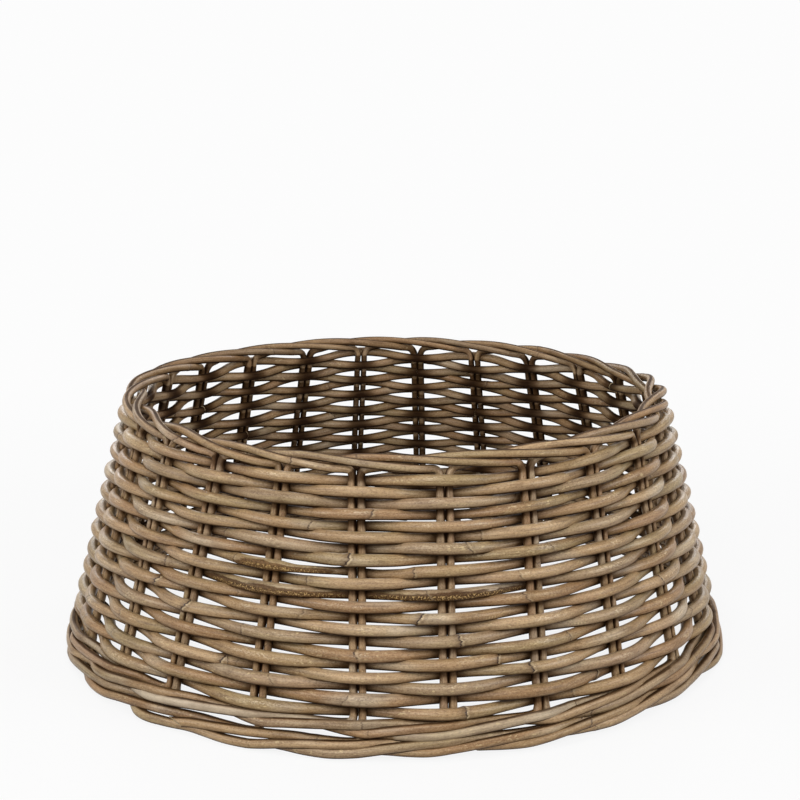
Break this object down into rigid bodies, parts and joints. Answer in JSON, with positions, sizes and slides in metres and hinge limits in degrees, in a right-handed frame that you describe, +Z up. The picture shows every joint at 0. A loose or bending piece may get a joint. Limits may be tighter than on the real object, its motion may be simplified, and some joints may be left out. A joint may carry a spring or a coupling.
{
  "type": "christmas tree collar",
  "caption": "Conical ring of woven rattan cane, open top and bottom, that hides the stand at the foot of an indoor tree",
  "frame": {"origin": "on the collar's axis, at floor level", "axes": "+Z up along the axis of the cone; -Y is the side the picture shows"},
  "size_m": [0.6804, 0.6804, 0.2526],
  "materials": {
    "cane_tan": "dry tan cane, fine lengthwise grain, satin skin",
    "cane_light": "pale straw-coloured cane, satin skin",
    "cane_grey": "grey-brown cane, matt skin",
    "cane_brown": "darker brown cane, satin skin"
  },
  "bodies": {
    "root": {"stake_cane_01": "cane_tan", "stake_cane_02": "cane_light", "stake_cane_03": "cane_grey", "stake_cane_04": "cane_brown", "stake_cane_05": "cane_tan", "stake_cane_06": "cane_light", "stake_cane_07": "cane_grey", "stake_cane_08": "cane_brown", "stake_cane_09": "cane_tan", "stake_cane_10": "cane_light", "stake_cane_11": "cane_grey", "stake_cane_12": "cane_brown", "stake_cane_13": "cane_tan", "stake_cane_14": "cane_light", "stake_cane_15": "cane_grey", "stake_cane_16": "cane_brown", "stake_cane_17": "cane_tan", "stake_cane_18": "cane_light", "stake_cane_19": "cane_grey", "stake_cane_20": "cane_brown", "stake_cane_21": "cane_tan", "stake_cane_22": "cane_light", "stake_cane_23": "cane_grey", "stake_cane_24": "cane_brown", "weaver_row_01": "cane_tan", "weaver_row_02": "cane_brown", "weaver_row_03": "cane_grey", "weaver_row_04": "cane_light", "weaver_row_05": "cane_tan", "weaver_row_06": "cane_brown", "weaver_row_07": "cane_grey", "weaver_row_08": "cane_light", "weaver_row_09": "cane_tan", "weaver_row_10": "cane_brown", "weaver_row_11": "cane_grey", "weaver_row_12": "cane_light", "weaver_row_13": "cane_tan", "weaver_row_14": "cane_brown", "weaver_row_15": "cane_grey", "weaver_row_16": "cane_light", "weaver_row_17": "cane_tan", "weaver_row_18": "cane_brown", "weaver_row_19": "cane_grey", "weaver_row_20": "cane_light", "weaver_row_21": "cane_tan"}
  },
  "joints": []
}
